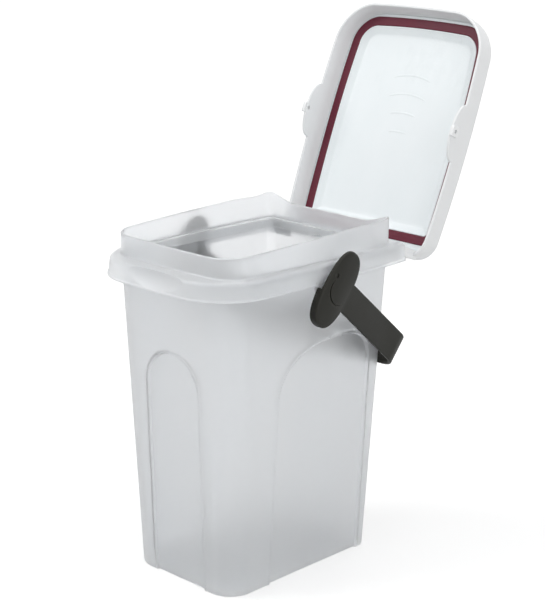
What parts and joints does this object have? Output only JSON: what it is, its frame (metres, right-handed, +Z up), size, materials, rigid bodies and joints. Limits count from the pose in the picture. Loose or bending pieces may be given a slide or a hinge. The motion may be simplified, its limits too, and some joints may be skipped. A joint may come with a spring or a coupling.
{
  "type": "storage container",
  "caption": "Tall tapered dry-food container with arched panels, a raised mouth collar, a flip-up sealing lid and a bail handle folded at its back.",
  "frame": {"origin": "centre of the tub's underside, on the surface it stands on", "axes": "+Z up, -Y to the narrow front with the finger scoop, +Y to the hinged back, +X to the right seen from the front"},
  "size_m": [0.1818, 0.3334, 0.4527],
  "materials": {
    "frosted_plastic": "frosted translucent polypropylene, fine texture",
    "rim_plastic": "translucent polypropylene, satin",
    "white_plastic": "satin white moulded plastic",
    "liner_plastic": "smooth pale moulded plastic",
    "seal_rubber": "soft maroon sealing rubber",
    "dark_plastic": "dark grey moulded plastic, fine texture"
  },
  "bodies": {
    "container": {"tub": "frosted_plastic", "rim_frame": "rim_plastic", "left_handle_pivot": "dark_plastic", "right_handle_pivot": "dark_plastic"},
    "lid": {"lid_shell": "white_plastic", "lid_liner": "liner_plastic", "gasket": "seal_rubber", "left_hinge_pin": "white_plastic", "right_hinge_pin": "white_plastic"},
    "handle": {"handle": "dark_plastic"}
  },
  "joints": [
    {"name": "lid_hinge", "type": "hinge", "parent": "container", "child": "lid", "pos_m": [0, 0.1042, 0.2623], "axis": [1, 0, 0], "range_deg": [0, 113.8]},
    {"name": "handle_hinge", "type": "hinge", "parent": "container", "child": "handle", "pos_m": [0, 0.007, 0.251], "axis": [1, 0, 0], "range_deg": [0, 30]}
  ]
}
